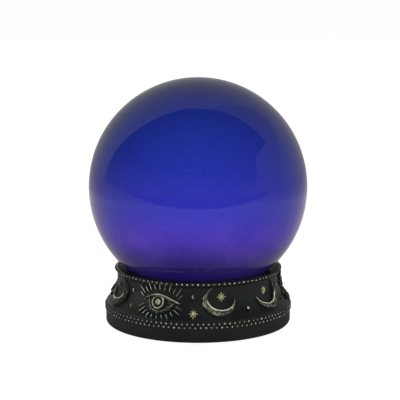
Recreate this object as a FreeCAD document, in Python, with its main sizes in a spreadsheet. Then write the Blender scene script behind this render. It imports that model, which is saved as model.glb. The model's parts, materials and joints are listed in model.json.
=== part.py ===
"""Light-up crystal ball: a liquid-filled glass globe on a cast ring with celestial relief.

Millimetres. +Z is up, the origin is on the table under the globe's centre, and the front is -Y.
Azimuths are measured from the front, positive towards +X.
"""

import FreeCAD, Part
import math
import os
import Sketcher

Vec = FreeCAD.Vector
UP = Vec(0, 0, 1)
CENTRE = Vec(0, 0, 0)

# ---------------------------------------------------------------- driving dimensions, millimetres
SIZES = {
    "globe_radius": 60.0,
    "globe_centre": 76.0,
    "glass_wall": 2.5,
    "fill_gap": 0.05,
    "plug_radius": 5.0,
    "plug_depth": 5.0,
    "casting_bottom": 0.8,
    "foot_radius": 51.2,
    "foot_edge": 2.0,
    "foot_top": 12.2,
    "shoulder_radius": 50.2,
    "shoulder_height": 13.6,
    "neck_radius": 44.7,
    "neck_height": 26.0,
    "neck_curve": 16.73,
    "neck_top": 28.6,
    "lip_radius": 45.6,
    "lip_low": 30.2,
    "lip_high": 31.4,
    "lip_top": 32.0,
    "lip_inner": 44.8,
    "funnel_inner": 33.0,
    "funnel_low": 24.0,
    "deck_thick": 4.0,
    "cavity_radius": 44.0,
    "cavity_shoulder": 13.0,
    "cavity_neck": 40.5,
    "cavity_bend": 20.0,
    "boss_circle": 38.5,
    "boss_radius": 3.2,
    "pilot_radius": 1.25,
    "pilot_depth": 9.0,
    "plate_radius": 46.8,
    "plate_bottom": 1.0,
    "plate_top": 3.2,
    "rebate_gap": 0.2,
    "seat_inner": 35.2,
    "seat_outer": 39.2,
    "seat_gap": 0.25,
    "dish_gap": 0.5,
    "dish_wall": 0.95,
    "dish_radius": 34.2,
    "cell_radius": 5.25,
    "cell_length": 44.5,
    "cell_nub": 0.8,
    "cell_nub_radius": 1.9,
    "cell_pitch": 10.9,
    "cell_axis": 7.75,
    "tray_half_width": 16.6,
    "tray_half_length": 25.1,
    "tray_wall": 1.4,
    "tray_roof_low": 13.1,
    "tray_roof_high": 14.1,
    "door_lip": 1.0,
    "door_gap": 0.2,
    "door_thick": 1.2,
    "tab_width": 4.0,
    "tab_place": 9.0,
    "tab_low": 1.75,
    "tab_reach": 28.4,
    "door_edge": 25.4,
    "ear_width": 7.0,
    "ear_reach": 33.6,
    "door_screw_place": 29.6,
    "door_screw_radius": 0.95,
    "door_screw_top": 5.2,
    "post_radius": 3.0,
    "post_bore": 1.3,
    "post_top": 6.6,
    "board_inner": 17.0,
    "board_outer": 30.0,
    "board_thick": 1.2,
    "led_circle": 24.5,
    "led_side": 5.0,
    "led_height": 1.6,
    "switch_place": 28.0,
    "switch_travel": 3.0,
    "switch_half_width": 3.5,
    "switch_half_length": 6.5,
    "switch_height": 5.2,
    "screw_head_radius": 2.4,
    "screw_radius": 1.2,
    "screw_length": 8.0,
    "tail_height": 10.8,
    "tail_reach": 28.0,
    "foot_pad_radius": 4.5,
    "foot_pad_circle": 40.0,
    "foot_pad_high": 1.0,
    "bead_radius": 0.62,
    "rim_bead_height": 31.2,
    "foot_bead_high": 11.2,
    "foot_bead_low": 9.25,
    "motif_height": 21.8,
    "eye_height": 20.7,
    "iris_place": -1.1,
    "iris_radius": 1.75,
    "ray_width": 0.6,
    "moon_radius": 9.4,
    "moon_bite": 7.7,
    "moon_squash": 0.87,
    "relief_moon": 2.2,
    "relief_eye": 2.0,
    "relief_ray": 1.7,
    "relief_star": 0.9,
    "wire_radius": 0.6,
}
RIM_BEADS = 102
FOOT_BEADS = 114
REPEATS = 3
EYE_RAYS = 11
EYE_AZIMUTH = -26.0
MOON_RIGHT_AZIMUTH = 14.0
MOON_LEFT_AZIMUTH = 54.0
LED_COUNT = 6

doc = FreeCAD.newDocument("crystal_ball")
sheet = doc.addObject("Spreadsheet::Sheet", "Sizes")
made = []


class Size:
    """A length that knows its number and the spreadsheet expression that gives it."""

    def __init__(self, number, text):
        self.number = float(number)
        self.text = text

    def __add__(self, other):
        other = size(other)
        return Size(self.number + other.number, f"({self.text} + {other.text})")

    def __sub__(self, other):
        other = size(other)
        return Size(self.number - other.number, f"({self.text} - {other.text})")

    def __mul__(self, other):
        other = size(other)
        return Size(self.number * other.number, f"({self.text} * {other.text})")

    def __truediv__(self, other):
        other = size(other)
        return Size(self.number / other.number, f"({self.text} / {other.text})")

    def __neg__(self):
        return Size(-self.number, f"(0 - {self.text})")

    def __float__(self):
        return self.number


def size(value):
    """A Size from a Size or a plain number."""
    return value if isinstance(value, Size) else Size(value, repr(float(value)))


def root(value):
    """Square root of a Size."""
    return Size(math.sqrt(value.number), f"sqrt({value.text})")


class Sheet:
    """Reads the driving dimensions by name: d.globe_radius."""

    def __getattr__(self, name):
        return Size(SIZES[name], f"Sizes.{name}")


d = Sheet()


def fill_sheet():
    for row, (name, value) in enumerate(SIZES.items(), 1):
        sheet.set(f"A{row}", name)
        sheet.set(f"B{row}", str(value))
        sheet.setAlias(f"B{row}", name)
    doc.recompute()


# ---------------------------------------------------------------- small builders
def keep(thing, label):
    """Names a finished sub-part and puts it on the list that is written out."""
    thing.Label = label
    made.append(thing)
    return thing


def bind(thing, **values):
    for prop, value in values.items():
        value = size(value)
        setattr(thing, prop, value.number)
        thing.setExpression(prop, value.text)


def move(thing, x=0, y=0, z=0):
    x, y, z = size(x), size(y), size(z)
    thing.Placement = FreeCAD.Placement(Vec(x.number, y.number, z.number), thing.Placement.Rotation)
    thing.setExpression("Placement.Base.x", x.text)
    thing.setExpression("Placement.Base.y", y.text)
    thing.setExpression("Placement.Base.z", z.text)
    return thing


def cylinder(name, radius, low, high, x=0, y=0):
    thing = doc.addObject("Part::Cylinder", name)
    bind(thing, Radius=radius, Height=size(high) - low)
    return move(thing, x, y, low)


def box(name, x, y, z):
    """Box from three (low, high) pairs."""
    thing = doc.addObject("Part::Box", name)
    bind(thing, Length=size(x[1]) - x[0], Width=size(y[1]) - y[0], Height=size(z[1]) - z[0])
    return move(thing, x[0], y[0], z[0])


def both(half):
    half = size(half)
    return -half, half


def sphere(name, radius, z):
    thing = doc.addObject("Part::Sphere", name)
    bind(thing, Radius=radius)
    return move(thing, 0, 0, z)


def fuse(name, *shapes):
    thing = doc.addObject("Part::MultiFuse", name)
    thing.Shapes = list(shapes)
    return thing


def common(name, *shapes):
    thing = doc.addObject("Part::MultiCommon", name)
    thing.Shapes = list(shapes)
    return thing


def cut(name, base, *tools):
    thing = doc.addObject("Part::Cut", name)
    thing.Base = base
    thing.Tool = tools[0] if len(tools) == 1 else fuse(name + "_tools", *tools)
    return thing


def solid_from_shape(label, shape):
    """A sub-part whose shape is made by code."""
    thing = doc.addObject("Part::Feature", label)
    thing.Shape = shape
    return keep(thing, label)


def plane(body, role):
    return next(f for f in body.Origin.OriginFeatures if f.Role == role)


def arc_between(a, b, radius):
    """Minor arc from a to b. A positive radius bulges to the right of the way from a to b."""
    chord = b - a
    across = Vec(chord.y, -chord.x, 0).normalize()
    rise = math.sqrt(radius * radius - chord.Length**2 / 4)
    centre = (a + b) / 2 - across * math.copysign(rise, radius)
    start = math.atan2(a.y - centre.y, a.x - centre.x)
    end = math.atan2(b.y - centre.y, b.x - centre.x)
    circle = Part.Circle(centre, UP, abs(radius))
    if radius > 0:
        return Part.ArcOfCircle(circle, start, end), 1, 2
    return Part.ArcOfCircle(circle, end, start), 2, 1


def outline(sketch, corners):
    """Closed outline in a sketch, anticlockwise.

    A corner is (x, y), or (x, y, radius) with the radius of the arc to the next corner.
    """
    points = [Vec(size(c[0]).number, size(c[1]).number, 0) for c in corners]
    ends = []
    for i, corner in enumerate(corners):
        a, b = points[i], points[(i + 1) % len(points)]
        if len(corner) == 3:
            curve, first, last = arc_between(a, b, size(corner[2]).number)
            geo = sketch.addGeometry(curve, False)
            rule = sketch.addConstraint(Sketcher.Constraint("Radius", geo, abs(size(corner[2]).number)))
            text = size(corner[2]).text
            sketch.setExpression(f"Constraints[{rule}]", f"abs({text})")
        else:
            geo, first, last = sketch.addGeometry(Part.LineSegment(a, b), False), 1, 2
        ends.append((geo, first, last))
    for i, (geo, first, last) in enumerate(ends):
        following = ends[(i + 1) % len(ends)]
        sketch.addConstraint(Sketcher.Constraint("Coincident", geo, last, following[0], following[1]))
        across, up = size(corners[i][0]), size(corners[i][1])
        for kind, value, axis in (("DistanceX", across, -2), ("DistanceY", up, -1)):
            if value.number == 0:
                sketch.addConstraint(Sketcher.Constraint("PointOnObject", geo, first, axis))
            else:
                rule = sketch.addConstraint(Sketcher.Constraint(kind, -1, 1, geo, first, value.number))
                sketch.setExpression(f"Constraints[{rule}]", value.text)


def turned(label, corners):
    """Body of revolution about Z from an outline of (radius, height) corners."""
    body = doc.addObject("PartDesign::Body", label)
    sketch = body.newObject("Sketcher::SketchObject", label + "_outline")
    sketch.AttachmentSupport = (plane(body, "XZ_Plane"), [""])
    sketch.MapMode = "FlatFace"
    outline(sketch, corners)
    turn = body.newObject("PartDesign::Revolution", label + "_turn")
    turn.Profile = sketch
    turn.ReferenceAxis = (sketch, ["V_Axis"])
    turn.Angle = 360
    doc.recompute()
    return body


def circle_sketch(body, name, radius, circle, height):
    """Sketch of one circle on the X axis, at a height above the XY plane."""
    sketch = body.newObject("Sketcher::SketchObject", name)
    sketch.AttachmentSupport = (plane(body, "XY_Plane"), [""])
    sketch.MapMode = "FlatFace"
    sketch.AttachmentOffset = FreeCAD.Placement(Vec(0, 0, height.number), FreeCAD.Rotation())
    sketch.setExpression("AttachmentOffset.Base.z", height.text)
    geo = sketch.addGeometry(Part.Circle(Vec(circle.number, 0, 0), UP, radius.number), False)
    sketch.addConstraint(Sketcher.Constraint("PointOnObject", geo, 3, -1))
    place = sketch.addConstraint(Sketcher.Constraint("DistanceX", -1, 1, geo, 3, circle.number))
    rule = sketch.addConstraint(Sketcher.Constraint("Radius", geo, radius.number))
    sketch.setExpression(f"Constraints[{place}]", circle.text)
    sketch.setExpression(f"Constraints[{rule}]", radius.text)
    return sketch


def around_z(body, name, feature, count):
    pattern = body.newObject("PartDesign::PolarPattern", name)
    pattern.Originals = [feature]
    pattern.Axis = (plane(body, "Z_Axis"), [""])
    pattern.Angle = 360
    pattern.Occurrences = count
    body.Tip = pattern
    doc.recompute()
    return pattern


def spin(shape, degrees):
    turned_copy = shape.copy()
    turned_copy.rotate(CENTRE, UP, degrees)
    return turned_copy


def repeated(shape, azimuth):
    """The shape, built at azimuth 0, at azimuth and at its other places round the ring."""
    return [spin(shape, azimuth + i * 360 / REPEATS) for i in range(REPEATS)]


# ---------------------------------------------------------------- the globe
def globe():
    centre, radius = d.globe_centre, d.globe_radius
    inner = radius - d.glass_wall
    outside = sphere("globe_outside", radius, centre)
    inside = sphere("globe_inside", inner, centre)
    hole = cylinder("filling_hole", d.plug_radius, 0, centre - inner + 2)
    keep(cut("globe_shell", outside, inside, hole), "globe_shell")

    plug_top = centre - radius + d.plug_depth
    plug_rod = cylinder("plug_rod", d.plug_radius, 0, plug_top)
    plug_face = sphere("plug_face", radius, centre)
    keep(common("globe_plug", plug_rod, plug_face), "globe_plug")

    fill = sphere("fill", inner - d.fill_gap, centre)
    plug_room = cylinder("plug_room", d.plug_radius + d.fill_gap, 0, plug_top + d.fill_gap)
    keep(cut("pearl_liquid", fill, plug_room), "pearl_liquid")


# ---------------------------------------------------------------- the cast ring
def base_casting():
    """Foot, hollow neck and rolled lip, with a funnel inside for the globe and three bosses below."""
    bottom, edge = d.casting_bottom, d.foot_edge
    corners = [
        (d.plate_radius + d.rebate_gap, bottom),
        (d.foot_radius - edge, bottom, edge),
        (d.foot_radius, bottom + edge),
        (d.foot_radius, d.foot_top, 2.0),
        (d.shoulder_radius, d.shoulder_height, -d.neck_curve),
        (d.neck_radius, d.neck_height),
        (d.neck_radius, d.neck_top, -2.4),
        (d.lip_radius, d.lip_low),
        (d.lip_radius, d.lip_high, 0.95),
        (d.lip_inner, d.lip_top),
        (d.funnel_inner, d.funnel_low),
        (d.funnel_inner, d.funnel_low - d.deck_thick),
        (d.cavity_neck, d.funnel_low - d.deck_thick + (d.cavity_neck - d.funnel_inner) * 0.75),
        (d.cavity_neck, d.cavity_bend),
        (d.cavity_radius, d.cavity_shoulder),
        (d.cavity_radius, d.plate_top),
        (d.plate_radius + d.rebate_gap, d.plate_top),
    ]
    body = turned("base_casting", corners)
    ring = body.Shape.Volume
    boss = body.newObject("PartDesign::Pad", "boss")
    boss.Profile = circle_sketch(body, "boss_circle_sketch", d.boss_radius, d.boss_circle, d.plate_top)
    bind(boss, Length=d.funnel_low - d.plate_top)
    doc.recompute()
    around_z(body, "bosses", boss, 3)
    pilot = body.newObject("PartDesign::Pocket", "pilot")
    pilot.Profile = circle_sketch(body, "pilot_sketch", d.pilot_radius, d.boss_circle, d.plate_top)
    pilot.Reversed = True
    bind(pilot, Length=d.pilot_depth)
    doc.recompute()
    solid = body.Shape.Volume
    around_z(body, "pilots", pilot, 3)
    bored = body.Shape.Volume
    print("casting volume:", round(ring), "with bosses", round(solid), "with pilots", round(bored))
    return keep(body, "base_casting")


def seat_ring():
    """Soft ring in the funnel that the globe rests on. Its top follows the globe."""
    gap = d.seat_gap
    ball = d.globe_radius + gap

    def funnel(radius):
        slope = (d.lip_top - d.funnel_low) / (d.lip_inner - d.funnel_inner)
        return d.funnel_low + (radius - d.funnel_inner) * slope + gap * 1.25

    def under_globe(radius):
        return d.globe_centre - root(ball * ball - radius * radius)

    corners = [
        (d.seat_inner, funnel(d.seat_inner)),
        (d.seat_outer, funnel(d.seat_outer)),
        (d.seat_outer, under_globe(d.seat_outer), -ball),
        (d.seat_inner, under_globe(d.seat_inner)),
    ]
    return keep(turned("seat_ring", corners), "seat_ring")


# ---------------------------------------------------------------- relief on the neck
def neck_wall(height):
    """Outside radius of the neck at a height, between the shoulder and the lip."""
    drop = max(0.0, SIZES["neck_height"] - height)
    curve = SIZES["neck_curve"]
    return SIZES["neck_radius"] + curve - math.sqrt(curve * curve - drop * drop)


def relief_band(height):
    """Ring that lies on the neck and is as thick as a piece of relief stands proud."""
    neck, curve, level = SIZES["neck_radius"], SIZES["neck_curve"], SIZES["neck_height"]
    middle = neck + curve
    low = 12.9
    sweep = math.asin((level - 13.6) / curve)

    def on_arc(radius, angle):
        return Vec(middle - radius * math.cos(angle), 0, level - radius * math.sin(angle))

    wall = [on_arc(curve, sweep), on_arc(curve, sweep / 2), on_arc(curve, 0)]
    face = [on_arc(curve - height, sweep), on_arc(curve - height, sweep / 2), on_arc(curve - height, 0)]
    top_in = Vec(neck, 0, SIZES["lip_low"] + 0.3)
    top_out = Vec(neck + height, 0, SIZES["lip_low"] + 0.3)
    foot_in = Vec(wall[0].x, 0, low)
    foot_out = Vec(face[0].x, 0, low)
    edges = [
        Part.LineSegment(foot_in, wall[0]).toShape(),
        Part.Arc(*wall).toShape(),
        Part.LineSegment(wall[2], top_in).toShape(),
        Part.LineSegment(top_in, top_out).toShape(),
        Part.LineSegment(top_out, face[2]).toShape(),
        Part.Arc(*reversed(face)).toShape(),
        Part.LineSegment(face[0], foot_out).toShape(),
        Part.LineSegment(foot_out, foot_in).toShape(),
    ]
    return Part.Face(Part.Wire(edges)).revolve(CENTRE, UP, 360)


def stamped(face, band, casting):
    """Relief piece at azimuth 0: a flat face pushed out through the band, less the casting behind it."""
    return face.extrude(Vec(0, -16, 0)).common(band).cut(casting)


def on_front(x, z):
    """Point on the flat behind the front of the neck, x mm to the right and at height z."""
    return Vec(x, -38, z)


def front_polygon(points):
    corners = [on_front(x, z) for x, z in points]
    return Part.Face(Part.makePolygon([*corners, corners[0]]))


def front_ellipse(x, z, half_width, half_height):
    """Ellipse on the front flat. The long half-axis of a Part.Ellipse comes first."""
    wide = half_width >= half_height
    long_half, short_half = (half_width, half_height) if wide else (half_height, half_width)
    shape = Part.Ellipse(CENTRE, long_half, short_half).toShape()
    if not wide:
        shape.rotate(CENTRE, UP, 90)
    shape.rotate(CENTRE, Vec(1, 0, 0), 90)
    shape.translate(on_front(x, z))
    return Part.Face(Part.Wire(shape))


def crescent_face(x, z, radius, bite, shift_x, shift_z, squash):
    whole = front_ellipse(x, z, radius, radius * squash)
    hole = front_ellipse(x + shift_x, z + shift_z, bite, bite * squash)
    return whole.cut(hole)


def star_face(x, z, radius, waist, points):
    corners = []
    for i in range(2 * points):
        reach = radius if i % 2 == 0 else waist
        turn = math.pi * i / points
        corners.append((x + reach * math.sin(turn), z + reach * math.cos(turn)))
    return front_polygon(corners)


def lens_face(left, right, top, bottom):
    """Face between two arcs from left to right, through top and through bottom, each an (x, z)."""
    ends = on_front(*left), on_front(*right)
    over = Part.Arc(ends[0], on_front(*top), ends[1]).toShape()
    under = Part.Arc(ends[1], on_front(*bottom), ends[0]).toShape()
    return Part.Face(Part.Wire([over, under]))


def moons(casting):
    band = relief_band(SIZES["relief_moon"])
    radius, bite, squash = SIZES["moon_radius"], SIZES["moon_bite"], SIZES["moon_squash"]
    for label, azimuth, side in (
        ("moons_open_right", MOON_RIGHT_AZIMUTH, 1),
        ("moons_open_left", MOON_LEFT_AZIMUTH, -1),
    ):
        face = crescent_face(0, SIZES["motif_height"], radius, bite, side * 1.7, 2.6, squash)
        moon = stamped(face, band, casting)
        solid_from_shape(label, Part.makeCompound(repeated(moon, azimuth)))


def stars(casting):
    band = relief_band(SIZES["relief_star"])
    centre_z = SIZES["motif_height"] + 2.4
    star = stamped(star_face(0, centre_z, 2.7, 1.2, 8), band, casting)
    right = repeated(star, MOON_RIGHT_AZIMUTH + 1.9)
    left = repeated(star, MOON_LEFT_AZIMUTH - 3.0)
    solid_from_shape("moon_stars", Part.makeCompound(right + left))
    low_star = stamped(star_face(0, 16.0, 2.5, 1.1, 8), band, casting)
    small_star = stamped(star_face(0, 16.3, 1.6, 0.8, 5), band, casting)
    accents = repeated(low_star, -3.0) + repeated(small_star, -48.6)
    solid_from_shape("accent_stars", Part.makeCompound(accents))


def accents(casting):
    band = relief_band(SIZES["relief_star"])
    tiny = stamped(crescent_face(0, 24.6, 1.25, 1.0, 0.65, -0.5, 1.0), band, casting)
    solid_from_shape("accent_crescents", Part.makeCompound(repeated(tiny, -2.8) + repeated(tiny, -49.5)))
    height = 16.7
    dome = Part.makeSphere(1.3, Vec(0, -neck_wall(height) + 0.1, height)).cut(casting)
    solid_from_shape("accent_studs", Part.makeCompound(repeated(dome, 33.7)))


def ray_ends(number, above):
    """Near and far end of a ray, as x and z from the eye's middle. Every other ray is longer."""
    share = number / (EYE_RAYS - 1)
    spread = abs(2 * share - 1)
    if above:
        place, aim = 162 - 144 * share, 141 - 94 * share
        reach_x, reach_z = 10.8, 6.6
        length = 3.3 + 3.2 * spread if number % 2 else 3.7
    else:
        place, aim = 196 + 148 * share, 214 + 124 * share
        reach_x, reach_z = 9.6, 6.5
        length = 1.9 + 2.9 * spread if number % 2 else 1.8 + 1.9 * spread**2
    near_x = reach_x * math.cos(math.radians(place))
    near_z = reach_z * math.sin(math.radians(place))
    far_x = near_x + length * math.cos(math.radians(aim))
    far_z = near_z + length * math.sin(math.radians(aim))
    return near_x, near_z, far_x, far_z


def ray_face(number, above, middle_z):
    """Thin bar from a ray's near end to its far end."""
    near_x, near_z, far_x, far_z = ray_ends(number, above)
    reach = math.hypot(far_x - near_x, far_z - near_z)
    side_x = -(far_z - near_z) / reach * SIZES["ray_width"] / 2
    side_z = (far_x - near_x) / reach * SIZES["ray_width"] / 2
    return front_polygon(
        [
            (near_x + side_x, middle_z + near_z + side_z),
            (far_x + side_x, middle_z + far_z + side_z),
            (far_x - side_x, middle_z + far_z - side_z),
            (near_x - side_x, middle_z + near_z - side_z),
        ]
    )


def eyes(casting):
    """All-seeing eyes: a long upper lid, a lower lid, the ball with its groove, the iris, and rays."""
    lid_band = relief_band(SIZES["relief_eye"])
    low_band = relief_band(SIZES["relief_star"])
    middle_z = SIZES["eye_height"]
    left, right = (-9.8, middle_z + 0.4), (11.4, middle_z - 0.4)
    upper = lens_face(left, right, (-1.2, middle_z + 4.9), (-0.2, middle_z + 2.7))
    under_lid = (-0.4, middle_z + 2.9)
    lens = lens_face((-7.4, middle_z + 1.3), (8.6, middle_z - 0.4), under_lid, (0.6, middle_z - 5.9))
    white = lens_face((-5.9, middle_z + 1.8), (6.4, middle_z + 0.9), under_lid, (0.1, middle_z - 4.4))
    lens, white = lens.cut(upper), white.cut(upper)
    place, radius = SIZES["iris_place"], SIZES["iris_radius"]
    iris = front_ellipse(place, middle_z, radius, radius - 0.05)
    groove = front_ellipse(place, middle_z, radius + 0.6, radius + 0.55)
    pieces = (
        ("eye_upper_lids", upper, lid_band),
        ("eye_lower_lids", lens.cut(white), lid_band),
        ("eye_balls", white.cut(groove), low_band),
        ("eye_irises", iris, lid_band),
    )
    for label, face, band in pieces:
        solid_from_shape(label, Part.makeCompound(repeated(stamped(face, band, casting), EYE_AZIMUTH)))

    ray_band = relief_band(SIZES["relief_ray"])
    rays = []
    for above in (True, False):
        for number in range(EYE_RAYS):
            rays += stamped(ray_face(number, above, middle_z), ray_band, casting).Solids
    solid_from_shape("eye_rays", Part.makeCompound([s for r in rays for s in repeated(r, EYE_AZIMUTH)]))


def bead_rows():
    """Rows of small domes that stand on the lip and the foot. The two foot rows are staggered."""
    rows = (
        ("rim_bead_row", SIZES["lip_radius"], SIZES["rim_bead_height"], RIM_BEADS, 0),
        ("foot_bead_row_upper", SIZES["foot_radius"], SIZES["foot_bead_high"], FOOT_BEADS, 0),
        ("foot_bead_row_lower", SIZES["foot_radius"], SIZES["foot_bead_low"], FOOT_BEADS, 0.5),
    )
    for label, radius, height, count, stagger in rows:
        dome = Part.makeSphere(SIZES["bead_radius"], Vec(0, -radius, height))
        dome = dome.cut(Part.makeCylinder(radius, 2 * height))
        step = 360 / count
        row = [spin(dome, (i + stagger) * step) for i in range(count)]
        solid_from_shape(label, Part.makeCompound(row))


# ---------------------------------------------------------------- light unit
def diffuser_dish():
    """Frosted dish under the globe that spreads the light and covers the board."""
    reach = d.globe_radius + d.dish_gap
    top = sphere("dish_top", reach, d.globe_centre)
    under = sphere("dish_under", reach + d.dish_wall, d.globe_centre)
    disc = cylinder("dish_disc", d.dish_radius, 0, 40)
    keep(cut("diffuser_dish", common("dish_blank", under, disc), top), "diffuser_dish")


def led_board():
    low, high = d.tray_roof_high, d.tray_roof_high + d.board_thick
    disc = cylinder("board_disc", d.board_outer, low, high)
    hole = cylinder("board_hole", d.board_inner, low - 1, high + 1)
    pins = [cylinder(f"pin_hole_{n}", 1.3, low - 1, high + 1, 0, y) for n, y in enumerate((-23.5, 23.5))]
    keep(cut("led_board", disc, hole, *pins), "led_board")

    top = high.number
    half = SIZES["led_side"] / 2
    corner = Vec(-half, -SIZES["led_circle"] - half, top)
    led = Part.makeBox(2 * half, 2 * half, SIZES["led_height"], corner)
    window = Part.makeCylinder(1.9, 0.4, Vec(0, -SIZES["led_circle"], top + SIZES["led_height"] - 0.4))
    led = led.cut(window)
    step = 360 / LED_COUNT
    solid_from_shape("leds", Part.makeCompound([spin(led, (i + 0.5) * step) for i in range(LED_COUNT)]))
    resistor = Part.makeBox(2.0, 1.25, 0.6, Vec(-1.0, -24.0, top))
    solid_from_shape("resistors", Part.makeCompound([spin(resistor, a) for a in (60, 120, 240)]))
    chip = box("chip_body", both(2.5), (21.8, 25.8), (high, high + 1.5))
    keep(chip, "controller_chip")
    chip.Placement = FreeCAD.Placement(Vec(0, 0, 0), FreeCAD.Rotation(UP, 60)).multiply(chip.Placement)


def cells():
    for n, x in enumerate((-d.cell_pitch, size(0), d.cell_pitch), 1):
        flip = 1 if n % 2 else -1
        half = SIZES["cell_length"] / 2
        body_end = half - SIZES["cell_nub"]
        start = Vec(x.number, -half * flip, SIZES["cell_axis"])
        way = Vec(0, flip, 0)
        can = Part.makeCylinder(SIZES["cell_radius"], half + body_end, start, way)
        can = can.makeFillet(0.5, can.Edges)
        nub = Part.makeCylinder(SIZES["cell_nub_radius"], 1.8, start + way * (half + body_end - 1), way)
        solid_from_shape(f"battery_cell_{n}", can.fuse(nub).removeSplitter())


def contacts():
    """Leaf spring for each flat end, raised contact for each nub, and the strips that link the cells."""
    end = SIZES["tray_half_length"] - 0.05
    half = SIZES["cell_length"] / 2
    thick = 0.4
    level = SIZES["cell_axis"]

    def strip(x_low, x_high, side):
        y = end - thick if side > 0 else -end
        return Part.makeBox(x_high - x_low, thick, 7.0, Vec(x_low, y, level - 3.4))

    def leaf(x, side):
        """Bent strip that stands off its contact strip and touches the cell's flat end at the crest."""
        room = end - thick - half
        tip = room - 0.05
        profile = [(0, -3.2), (0.3, -3.2), (tip, -0.6), (tip, 0.6), (0.7, 2.6), (0.4, 2.6)]
        profile += [(room - 0.4, 0.4), (room - 0.4, -0.4), (0, -2.7)]
        corners = [Vec(x - 2, side * (end - thick - out), level + up) for out, up in profile]
        return Part.Face(Part.makePolygon([*corners, corners[0]])).extrude(Vec(4, 0, 0))

    def pip(x, side):
        room = end - thick - half - 0.05
        return Part.makeCylinder(1.6, room, Vec(x, side * (end - thick), level), Vec(0, -side, 0))

    def tail(x, side):
        reach = SIZES["tail_reach"]
        low_y = end - thick if side > 0 else -reach
        corner = Vec(x - 1.0, low_y, SIZES["tail_height"] - thick / 2)
        return Part.makeBox(2.0, reach - end + thick, thick, corner)

    pitch = SIZES["cell_pitch"]
    positive = strip(-pitch - 3.5, -pitch + 3.5, 1).fuse([pip(-pitch, 1), tail(-pitch, 1)])
    solid_from_shape("contact_positive", positive)
    solid_from_shape("contact_negative", strip(pitch - 3.5, pitch + 3.5, -1).fuse(tail(pitch, -1)))
    solid_from_shape("contact_link_front", strip(-pitch - 3.5, 3.5, -1).fuse(pip(0, -1)))
    solid_from_shape("contact_link_back", strip(-3.5, pitch + 3.5, 1).fuse(pip(pitch, 1)))
    springs = [leaf(-pitch, -1), leaf(0, 1), leaf(pitch, -1)]
    solid_from_shape("contact_springs", Part.makeCompound(springs))


def place_round(name, thing, circle, degrees):
    """Copy of a thing built on the Z axis, moved out to a circle at an angle from +X."""
    copy = doc.addObject("Part::Feature", name)
    copy.Shape = thing.Shape
    angle = math.radians(degrees)
    copy.Placement = FreeCAD.Placement(
        Vec(circle.number * math.cos(angle), circle.number * math.sin(angle), 0),
        FreeCAD.Rotation(UP, degrees),
    )
    return copy


def bottom_plate():
    """Round plate with the battery tray moulded on it, board pins, a door post and holes."""
    low, high = d.plate_bottom, d.plate_top
    half_x, half_y, gap = d.tray_half_width, d.tray_half_length, d.door_gap
    door_top = low + d.door_thick + gap
    solid = [
        cylinder("plate_disc", d.plate_radius, low, high),
        box(
            "tray_block",
            both(half_x + d.tray_wall),
            both(half_y + d.tray_wall),
            (low, d.tray_roof_high),
        ),
        cylinder("door_post", d.post_radius, high - 0.5, d.post_top, 0, d.door_screw_place),
    ]
    roof, pin_top = d.tray_roof_high, d.tray_roof_high + d.board_thick + 0.4
    pins = (-23.5, 23.5)
    solid += [cylinder(f"board_pin_{n}", 1.15, roof - 0.5, pin_top, 0, y) for n, y in enumerate(pins)]
    lip = d.door_lip + gap
    rooms = [
        box("tray_room", both(half_x), both(half_y), (low - 1, d.tray_roof_low)),
        box("door_room", both(half_x + lip), both(half_y + lip), (low - 1, door_top)),
        box("ear_room", both(d.ear_width / 2 + gap), (half_y, d.ear_reach + gap), (low - 1, door_top)),
        cylinder("post_hole", d.post_bore, low, d.post_top - 0.8, 0, d.door_screw_place),
        box(
            "switch_slot",
            (d.switch_place - 1.7, d.switch_place + 1.7),
            both(d.switch_travel / 2 + 2.3),
            (low - 1, high + 1),
        ),
    ]
    for n, side in enumerate((-1, 1)):
        x = d.tab_place * side
        half_tab = d.tab_width / 2 + gap
        slot_y = -(d.tab_reach + 0.8), -(half_y + 0.8)
        slot_z = (d.tab_low - 0.15, d.tab_low + 2.9)
        rooms.append(box(f"tab_slot_{n}", (x - half_tab, x + half_tab), slot_y, slot_z))
        tail_x = d.cell_pitch * side
        tail_y = (half_y - 1, half_y + 3) if side < 0 else (-(half_y + 3), -(half_y - 1))
        tail_z = d.tail_height - 0.4, d.tail_height + 0.4
        rooms.append(box(f"tail_slot_{n}", (tail_x - 1.3, tail_x + 1.3), tail_y, tail_z))
    for n, angle in enumerate((0, 120, 240)):
        x = d.boss_circle * math.cos(math.radians(angle))
        y = d.boss_circle * math.sin(math.radians(angle))
        rooms.append(cylinder(f"screw_hole_{n}", d.screw_radius + 0.3, low - 1, high + 1, x, y))
        rooms.append(cylinder(f"head_hole_{n}", d.screw_head_radius + 0.3, low - 1, low + 1.4, x, y))
    keep(cut("bottom_plate", fuse("plate_blank", *solid), *rooms), "bottom_plate")


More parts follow.
